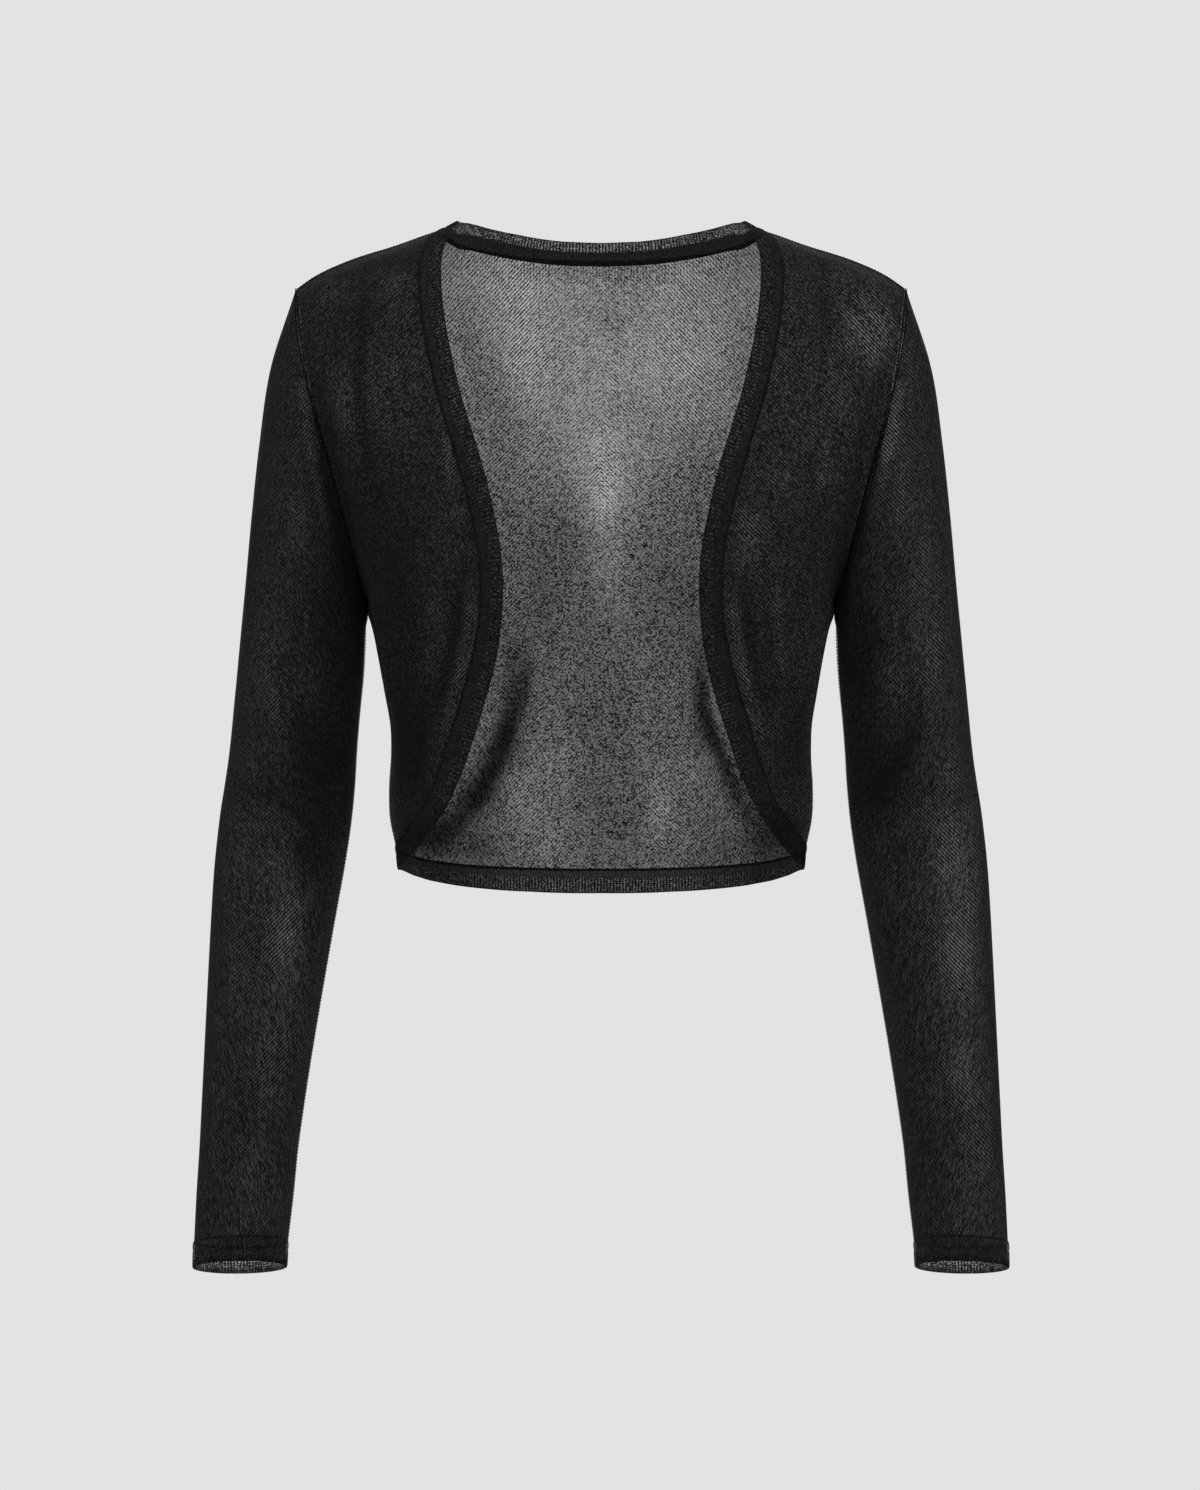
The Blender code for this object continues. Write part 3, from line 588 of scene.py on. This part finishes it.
# And how much less through its inner side, beside the body, above the elbow and below it:
# painted shade between sleeve and body.
SLEEVE_INNER_SHADE = {"left": (0.46, 0.46), "right": (0.46, 0.28)}
ELBOW, ELBOW_HEIGHT = -0.3700, 0.05
# Painted shade: the light through a sleeve fades towards its edges as seen from the front, partly for the
# cloth seen edge-on there.
OUTER_EDGE, INNER_EDGE, DARKEST_PAINTED_EDGE = 0.62, 0.42, 0.2  # how the light fades towards the edges
SLEEVE_FOLDS = {
    "left": [
        (0.0045, 0.0012, -1.60, [(0.180, -0.106), (0.1755, -0.134), (0.170, -0.162), (0.164, -0.184)]),
        (0.0060, 0.0012, -0.40, [(0.178, -0.118), (0.182, -0.160), (0.178, -0.185)]),
        (0.0065, -0.0018, 0.50, [(0.165, -0.145), (0.158, -0.180), (0.151, -0.215), (0.145, -0.245),
                                 (0.150, -0.290)]),
        (0.0070, -0.0026, 0.72, [(0.193, -0.296), (0.189, -0.322), (0.179, -0.341), (0.162, -0.358)]),
        (0.0022, 0.0008, -0.30, [(0.205, -0.150), (0.211, -0.220), (0.215, -0.290)]),
        (0.0050, 0.0016, 0.0, [(0.196, -0.350), (0.206, -0.346), (0.222, -0.350)]),
        (0.0050, -0.0014, 0.30, [(0.190, -0.364), (0.206, -0.362), (0.224, -0.354)]),
        (0.0080, -0.0015, 0.20, [(0.204, -0.420), (0.211, -0.500), (0.215, -0.570)]),
    ],
    "right": [
        (0.0036, 0.0012, -1.50, [(-0.1820, -0.104), (-0.1785, -0.127), (-0.1735, -0.161), (-0.166, -0.194)]),
        (0.0065, -0.0018, 0.75, [(-0.168, -0.150), (-0.160, -0.190), (-0.152, -0.225), (-0.147, -0.250),
                                 (-0.150, -0.290)]),
        (0.0035, -0.0022, 0.55, [(-0.218, -0.352), (-0.204, -0.357), (-0.190, -0.364), (-0.176, -0.372)]),
        (0.0030, 0.0010, -0.45, [(-0.203, -0.280), (-0.195, -0.315), (-0.186, -0.345)]),
        (0.0022, 0.0008, -0.30, [(-0.206, -0.130), (-0.214, -0.200), (-0.220, -0.270)]),
        (0.0050, 0.0016, 0.0, [(-0.190, -0.340), (-0.204, -0.342), (-0.218, -0.338)]),
        (0.0080, -0.0018, 0.15, [(-0.172, -0.250), (-0.180, -0.300), (-0.182, -0.345)]),
        (0.0075, -0.0015, 0.15, [(-0.212, -0.430), (-0.218, -0.490), (-0.222, -0.560)]),
    ],
}
SLEEVE_BACK_FOLDS = [
    (0.0060, -0.0022, 0.30, [(0.186, -0.362), (0.204, -0.350), (0.226, -0.356)]),
    (0.0060, -0.0016, 0.25, [(0.188, -0.392), (0.206, -0.384), (0.222, -0.388)]),
    (0.0055, 0.0016, 0.0, [(0.190, -0.376), (0.208, -0.367), (0.224, -0.372)]),
    (0.0090, -0.0020, 0.30, [(0.176, -0.130), (0.186, -0.200), (0.190, -0.270)]),
    (0.0080, -0.0014, 0.20, [(0.212, -0.440), (0.220, -0.520), (0.222, -0.590)]),
]
SLEEVE_THIN = {
    "left": [
        (0.218, -0.400, 0.012, 0.036, 0.260), (0.218, -0.460, 0.011, 0.034, 0.245),
        (0.221, -0.520, 0.009, 0.034, 0.225), (0.228, -0.585, 0.009, 0.030, 0.170),
        (0.188, -0.100, 0.007, 0.016, 0.160), (0.184, -0.205, 0.009, 0.026, 0.190),
        (0.204, -0.250, 0.009, 0.050, 0.165), (0.180, -0.240, 0.010, 0.045, 0.135),
        (0.212, -0.360, 0.011, 0.020, 0.165), (0.174, -0.345, 0.016, 0.030, 0.060),
        (0.185, -0.450, 0.016, 0.060, 0.130), (0.175, -0.138, 0.006, 0.020, 0.220),
        (0.163, -0.270, 0.010, 0.045, 0.060),
    ],
    "right": [
        (-0.198, -0.400, 0.013, 0.026, 0.160), (-0.194, -0.452, 0.012, 0.036, 0.240),
        (-0.203, -0.515, 0.014, 0.036, 0.170), (-0.210, -0.590, 0.013, 0.034, 0.165),
        (-0.212, -0.270, 0.009, 0.040, 0.140), (-0.187, -0.195, 0.007, 0.020, 0.185),
        (-0.174, -0.335, 0.016, 0.032, 0.045), (-0.165, -0.250, 0.012, 0.060, 0.060),
        (-0.219, -0.400, 0.010, 0.030, 0.155), (-0.220, -0.485, 0.010, 0.036, 0.165),
        (-0.176, -0.385, 0.012, 0.026, 0.060),
    ],
}

sleeve_rings = {}
for side, mirrored in BOTH_SIDES:
    sign = mirrored[0]
    sleeve = wall_of("sleeve_" + side, SLEEVE_ROWS, SLEEVE_COLUMNS,
                     mirrored * UNDERARM, mirrored * SLEEVE_FRONT, closed=True)
    sleeve = finely(sleeve, SLEEVE_FINE_ROWS, SLEEVE_FINE_COLUMNS, closed=True)
    sleeve_rings[side] = sleeve
    sleeve = let_in(sleeve, armhole_let_in(sleeve[0, :, 2]), LET_IN)
    sleeve = underarm(sleeve, -sign)
    core = sleeve[:, :-1].mean(axis=1, keepdims=True)
    sleeve_out = facing(sleeve, core, closed=True)
    round_it = run_over(sleeve, [0, 1, 2], 1)
    round_it -= round_it[:, SLEEVE_FINE_COLUMNS // 2, None]
    sleeve_map = np.stack([round_it, run_over(sleeve, [0, 1, 2], 0)], axis=-1)
    lean = sign * sleeve_out[..., 0]
    # painted shade towards the sleeve's edges, as seen from the front
    painted_edge_shade = np.abs(sleeve_out[..., 1]) / np.where(lean > 0, OUTER_EDGE, INNER_EDGE)
    above, below = SLEEVE_INNER_SHADE[side]
    raised = np.clip((sleeve[..., 2] - ELBOW) / ELBOW_HEIGHT + 0.5, 0, 1)
    # painted shade on the inner side, beside the body
    inner_shade = below + (above - below) * raised
    lean = np.where(lean > 0, SLEEVE_OUTER_GAIN[side], inner_shade) * lean
    in_front = np.clip(0.5 - 2 * sleeve_out[..., 1], 0, 1)
    sleeve_light = thinned(sleeve, SLEEVE_LIGHT[side], SLEEVE_THIN[side])
    sleeve_light = sleeve_light * (1 + lean) * np.clip(painted_edge_shade, DARKEST_PAINTED_EDGE, 1)
    shown = SLEEVE_FOLDS[side]
    hidden = [(w, h, t, [(sign * x, z) for x, z in line]) for w, h, t, line in SLEEVE_BACK_FOLDS]
    sleeve, sleeve_light = folded(sleeve, sleeve_out, sleeve_light, shown, in_front, True)
    sleeve, sleeve_light = folded(sleeve, sleeve_out, sleeve_light, hidden, 1 - in_front, True)
    sleeve_piece = cloth("sleeve_jersey_" + side, sleeve, sleeve_out, sleeve_map, sleeve_light, True)
    sleeve_piece.data.materials.append(black_jersey)
    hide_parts("sleeve_" + side)
    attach(sleeve_piece, "root")


# ---- The bands ----
# A narrow ribbed band of the same yarn, doubled, linked on all round the opening: across
# the back of the neck, down each front edge, and along the hem. The free edge is ribbed,
# and a flat, close strip lies beside the seam.

RIB = 0.0020  # from one rib to the next
RIB_STEPS = 6
RIB_DEPTH = 0.42
BAND_HALF = 0.0008  # half its thickness
BAND_FINE_ROWS = 9
# Across the band from its free edge: the share of its width, and the share of half its thickness.
BAND_SECTION = [
    (0.000, 0.00), (0.004, 0.50), (0.025, 0.85), (0.09, 1.00), (0.25, 1.04), (0.45, 1.04), (0.60, 1.00),
    (0.645, 0.72), (0.665, 0.50), (0.69, 0.74), (0.76, 0.98), (0.90, 0.98), (0.965, 0.80),
    (1.03, 0.55), (1.055, 0.0),
]
RIBBED_TO = 0.64
# The bands' peaks beside the neck are rounded: how far across, and how much it is raised there.
NECK_LIFT = [(0.0, -0.0009), (0.024, -0.0007), (0.040, 0.0006), (0.052, 0.0017), (0.066, 0.0024),
             (0.078, 0.0027), (0.083, 0.0022), (0.0865, 0.0008), (0.0890, -0.0003), (0.094, 0.0)]
PEAK_REACH = 0.020
# Across the band: where the light changes from the ribs, to the line, to the strip, to the line.
LIGHT_CHANGES = [0, 0.60, 0.645, 0.69, 0.76, 0.90, 0.965, 1.1]
STRIP_LINE = 0.92  # the lines each side of the strip let less light through
FREE_EDGE = 0.45  # the turned edge is closer than the ribs
TURNED_BAND, TURNED_CUFF = (0.02, 0.09), (0.08, 0.30)  # how much of the width is turned
HEM_SIDES = (0.050, 0.110)
BAND_LOOP = 0.09  # a row of loops, as a share of the band's width


def ribbed_band(node, columns, free, towards, ribbed=0.64, reach=1.0, closed=False):
    """A closed ribbed shell on the band's solid, from its free edge to its seam. The ribs
    reach over one share of the solid's width, and the whole band over another."""
    lines = wall_of(node, 2, columns, free, towards, closed)
    if np.linalg.norm(lines[0, 0] - free) > np.linalg.norm(lines[-1, 0] - free):
        lines = lines[::-1]
    length = np.linalg.norm(np.diff(lines[1], axis=0), axis=1).sum()
    if closed:
        length += np.linalg.norm(lines[1, 0] - lines[1, -1])
    ribs = round(length / RIB)
    count = ribs * RIB_STEPS + 1
    section = np.array(BAND_SECTION + [(w, -h) for w, h in BAND_SECTION[-2:0:-1]])
    width = np.interp(section[:, 0], [0, RIBBED_TO, 1, 1.1], [0, ribbed, reach, reach + 0.1])
    lines = finely(lines, BAND_FINE_ROWS, count, closed)
    out = facing(lines, lines.reshape(-1, 3).mean(axis=0), closed)
    at = np.clip(width, 0, 1) * (len(lines) - 1)
    low = np.minimum(at.astype(int), len(lines) - 2)
    share = (at - low)[:, None, None]
    middle = lines[low] * (1 - share) + lines[low + 1] * share
    past = (width - np.clip(width, 0, 1))[:, None, None]
    middle = middle + (lines[-1] - lines[0]) * past
    normal = out[low] * (1 - share) + out[low + 1] * share
    along = np.linspace(0, ribs, count)
    on_ribs = (section[:, 0] < RIBBED_TO)[:, None]
    linked = 0.10 * np.cos(4 * np.pi * along)
    relief = np.where(on_ribs, 1 - RIB_DEPTH * (0.5 - 0.5 * np.cos(2 * np.pi * along)), 1 - linked)
    ring = middle + normal * (BAND_HALF * section[:, 1, None] * relief)[..., None]
    near_top = np.exp(-((ring[..., 2] / PEAK_REACH) ** 2))
    ring[..., 2] += np.interp(np.abs(ring[..., 0]), *zip(*NECK_LIFT)) * near_top
    return ring, along * RIB, section, closed


def band_piece(name, ring, along, section, closed, ribs, strip, sides=1.0):
    """Makes the band's mesh. Its ends are closed where it doesn't run round. Its ribs and its
    strip each let through a share of the light, and its far sides less or more."""
    around, count = ring.shape[:2]
    kept = count - 1 if closed else count
    i, j = np.meshgrid(np.arange(around), np.arange(count - 1), indexing="ij")
    corners = np.stack([i, i + 1, i + 1, i, j, j, j + 1, j + 1], axis=-1).reshape(-1, 2, 4)
    down, over = corners[:, 0].reshape(-1), corners[:, 1].reshape(-1)
    faces = ((down % around) * kept + over % kept).reshape(-1, 4).tolist()
    square = np.stack([over / (count - 1), down / around], axis=1)
    width = np.append(section[:, 0], section[0, 0])
    flat = np.stack([along[over], width[down]], axis=1)
    if not closed:
        for end in (0, count - 1):
            loop = [k * kept + end for k in range(around)]
            faces.append(loop if end else loop[::-1])
            square = np.concatenate([square, [[end / (count - 1), k / around] for k in range(around)]])
            flat = np.concatenate([flat, [[along[end], section[k, 0]] for k in range(around)]])
    line = STRIP_LINE * strip
    share = np.interp(section[:, 0], LIGHT_CHANGES, [ribs, ribs, line, line, strip, strip, line, line])
    share *= np.interp(section[:, 0], TURNED_CUFF if closed else TURNED_BAND, [FREE_EDGE, 1])
    aside = np.interp(np.abs(ring[:, :kept, 0]), HEM_SIDES, [1.0, sides])
    return knitted(name, ring[:, :kept], faces, square, flat, share[:, None] * aside)


RIB_YARN, RIB_BLOOM = (0.0030, 0.0032, 0.0034, 1), (0.0085, 0.0090, 0.0095, 1)


def rib_knit():
    material, shader, start = black_cloth("black_rib", 0.8, 0.015)
    along, width, place, light = knitting_of(start)
    ribs = along.wave(RIB)
    specks = start.noise(0.0010, 1.0, place)
    slubs = start.noise(0.004, 2.0, place)
    linked = start.add("Math", {"operation": "GREATER_THAN"}, {0: width, 1: RIBBED_TO})
    loops = width.wave(BAND_LOOP)
    valley = (1 - 0.75 * ribs + 0.30 * loops + 7.5 * specks + 0.9 * slubs).between(0.04, 2.8)
    strip = (1 + 2.5 * specks).between(0.0, 2.0)
    light = light * (valley * (1 - linked) + strip * linked)
    start.give(shader.inputs["Alpha"], 1 - light.between(0.0, 0.9))
    bloom = (0.45 + 0.35 * ribs + 1.2 * slubs + 1.2 * specks).between(0.0, 1.0)
    dye(start, shader, bloom, RIB_YARN, RIB_BLOOM)
    start.give(shader.inputs["Roughness"], 0.8 + 0.3 * specks)
    raise_stitches(start, shader, 0.4 * loops + 1.2 * specks, 0.5, 0.00025)
    return material


black_rib = rib_knit()


def sew_on(piece, node):
    """Puts a band in its solid's place."""
    piece.data.materials.append(black_rib)
    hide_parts(node)
    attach(piece, "root")


# The light through each band's ribs and strip, and through the hem band's far sides.
NECK_LIGHT, EDGE_LIGHT, HEM_LIGHT = (0.260, 0.105), (0.265, 0.225), (0.175, 0.155, 0.55)
NECK_COLUMNS, EDGE_COLUMNS, HEM_COLUMNS = 14, 27, 28
NECK_FREE = (0.0885, 0.0, 0.0)
FRONT_FREE_HEM = (0.1247, 0.0, -0.4016)
HEM_FREE = (0.1247, 0.0, -0.4019)

neck = ribbed_band("neck_band", NECK_COLUMNS, np.array(NECK_FREE),
                   np.array([-NECK_FREE[0], 0, NECK_FREE[2]]), ribbed=0.52, reach=1.20)
sew_on(band_piece("neck_band_rib", *neck, *NECK_LIGHT), "neck_band")
for side, mirrored in BOTH_SIDES:
    edge = ribbed_band("front_band_" + side, EDGE_COLUMNS, mirrored * NECK_FREE,
                       mirrored * FRONT_FREE_HEM, ribbed=0.60, reach=1.08)
    edge = band_piece("front_band_rib_" + side, *edge, *EDGE_LIGHT)
    sew_on(edge, "front_band_" + side)
hem = ribbed_band("hem_band", HEM_COLUMNS, np.array(HEM_FREE),
                  np.array([-HEM_FREE[0], 0, HEM_FREE[2]]), ribbed=0.49, reach=0.76)
hem[0][..., 2] += np.interp(np.abs(hem[0][..., 0]), *zip(*HEM_DROP))
sew_on(band_piece("hem_band_rib", *hem, *HEM_LIGHT), "hem_band")


# ---- The cuffs ----
# A narrow ribbed cuff finishes each sleeve, of the same doubled rib as the bands, with its
# ribs running along the arm.

CUFF_COLUMNS = 20
CUFF_LIGHT = (0.30, 0.29)  # through its ribs and its strip

for side, mirrored in BOTH_SIDES:
    low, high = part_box("cuff_" + side)
    inner = low.x if side == "left" else high.x
    wrist = np.array([inner, (low.y + high.y) / 2, low.z])
    forward = np.array([(low.x + high.x) / 2, low.y, low.z])
    cuff = ribbed_band("cuff_" + side, CUFF_COLUMNS, wrist, forward, closed=True)
    sew_on(band_piece("cuff_rib_" + side, *cuff, *CUFF_LIGHT), "cuff_" + side)


# ---- The seams ----
# The panels are linked edge to edge, which leaves a narrow raised line of close stitches
# at the shoulders, round the armholes, down the sides and under each sleeve.

SEAM_HALF_WIDTH, SEAM_HALF_HEIGHT = 0.0006, 0.0005
SEAM_STITCH, SEAM_SWELL = 0.0021, 0.14  # a stitch's length, and how much it swells
SEAM_LIGHT = 0.55
SEAM_SIDES = 8
SEAM_STEPS = 4


def seam_line(name, line, out, closed=False):
    """A flat, stitched cord along a seam."""
    run = np.concatenate([[0], np.cumsum(np.linalg.norm(np.diff(line, axis=0), axis=1))])
    stitches = round(run[-1] / SEAM_STITCH)
    at = np.linspace(0, run[-1], stitches * SEAM_STEPS + 1)
    line = np.stack([np.interp(at, run, line[:, k]) for k in range(3)], axis=1)
    out = np.stack([np.interp(at, run, out[:, k]) for k in range(3)], axis=1)
    ahead = np.gradient(line, axis=0)
    ahead /= np.linalg.norm(ahead, axis=1, keepdims=True)
    over = np.cross(ahead, out)
    over /= np.linalg.norm(over, axis=1, keepdims=True)
    up = np.cross(over, ahead)
    swell = 1 + SEAM_SWELL * np.cos(2 * np.pi * at / SEAM_STITCH)
    turn = np.linspace(0, 2 * np.pi, SEAM_SIDES, endpoint=False)[:, None, None]
    ring = line + (
        over * SEAM_HALF_WIDTH * np.cos(turn) + up * SEAM_HALF_HEIGHT * np.sin(turn)
    ) * swell[:, None]
    section = np.stack([np.linspace(0, 1, SEAM_SIDES, endpoint=False)] * 2, axis=1)
    return band_piece(name, ring, at, section, closed, SEAM_LIGHT, SEAM_LIGHT)


def linking():
    material, shader, start = black_cloth("black_linking", 0.8, 0.012)
    along, _, place, light = knitting_of(start)
    loops = along.wave(SEAM_STITCH)
    specks = start.noise(0.0009, 2.0, place)
    dye(start, shader, (0.4 + 0.3 * loops + 1.2 * specks).between(0.0, 1.0), BLACK_YARN, GREY_BLOOM)
    start.give(shader.inputs["Alpha"], 1 - light * (1 - 0.6 * loops + 2.0 * specks).between(0.0, 1.7))
    raise_stitches(start, shader, 0.5 * loops + specks, 0.5, 0.0003)
    return material


black_linking = linking()
for side, mirrored in BOTH_SIDES:
    front = front_wall(side, mirrored)
    rings = sleeve_rings[side]
    core = rings[:, :-1].mean(axis=1, keepdims=True)
    rings_out = facing(rings, core, closed=True)
    under = front[:, -1, 2] < UNDERARM[2]
    lines = {
        "shoulder": (front[0], np.tile([0.0, 0.0, 1.0], (front.shape[1], 1)), False),
        "side": (front[under, -1], np.tile(mirrored * (1.0, 0.0, 0.0), (under.sum(), 1)), False),
        "armhole": (rings[0], rings_out[0], True),
        "underarm": (rings[:, 0], rings_out[:, 0], False),
    }
    for seam, (line, out, closed) in lines.items():
        piece = seam_line(f"{seam}_seam_{side}", line, out, closed)
        piece.data.materials.append(black_linking)
        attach(piece, "root")


# ---- The studio ----
# A plain pale room: soft light from all round, a broad lamp above each shoulder and one
# behind, and a pale floor well below the garment, which hangs as it is worn.

PALE_WALL, PALE_FLOOR = (0.775, 0.767, 0.759, 1), (0.74, 0.733, 0.725, 1)
FLOOR_LEVEL, FLOOR_RADIUS = -1.38, 2.9
LAMPS_AIM = (0.0, 0.0, -0.3)
CAMERA_ASIDE, CAMERA_AWAY, CAMERA_LEVEL, CAMERA_LENS = -0.0006, 2.6, -0.325, 101.3

room = bpy.data.worlds.new("pale_room")
room.use_nodes = True
room.node_tree.nodes["Background"].inputs["Color"].default_value = PALE_WALL
bpy.context.scene.world = room
bpy.context.scene.view_settings.view_transform = "Standard"

ring = [(FLOOR_RADIUS * math.cos(a), FLOOR_RADIUS * math.sin(a), FLOOR_LEVEL)
        for a in np.linspace(0, 2 * math.pi, 96, endpoint=False)]
floor_mesh = bpy.data.meshes.new("floor")
floor_mesh.from_pydata(ring, [], [list(range(len(ring)))])
floor = bpy.data.objects.new("floor", floor_mesh)
bpy.context.scene.collection.objects.link(floor)
pale = bpy.data.materials.new("pale_floor")
pale.use_nodes = True
pale.node_tree.nodes["Principled BSDF"].inputs["Base Color"].default_value = PALE_FLOOR
pale.node_tree.nodes["Principled BSDF"].inputs["Roughness"].default_value = 0.9
floor_mesh.materials.append(pale)
floor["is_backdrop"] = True

for name, place, watts, size in (
    ("lamp_left", (-1.7, -2.0, 1.3), 22.0, 1.6),
    ("lamp_right", (1.9, -1.6, 0.9), 13.0, 1.6),
    ("lamp_behind", (0.4, 2.2, 1.2), 10.0, 1.8),
):
    lamp = bpy.data.lights.new(name, "AREA")
    lamp.energy, lamp.size = watts, size
    holder = bpy.data.objects.new(name, lamp)
    holder.location = place
    aim = np.array(LAMPS_AIM) - np.array(place)
    level = math.hypot(aim[0], aim[1])
    holder.rotation_euler = (math.atan2(level, -aim[2]), 0, math.atan2(-aim[0], aim[1]))
    bpy.context.scene.collection.objects.link(holder)

lens = bpy.data.cameras.new("camera")
lens.lens, lens.sensor_width = CAMERA_LENS, 36.0
camera = bpy.data.objects.new("camera", lens)
camera.location = (CAMERA_ASIDE, -CAMERA_AWAY, CAMERA_LEVEL)
camera.rotation_euler = (math.pi / 2, 0, 0)
bpy.context.scene.collection.objects.link(camera)
bpy.context.scene.camera = camera

low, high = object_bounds()
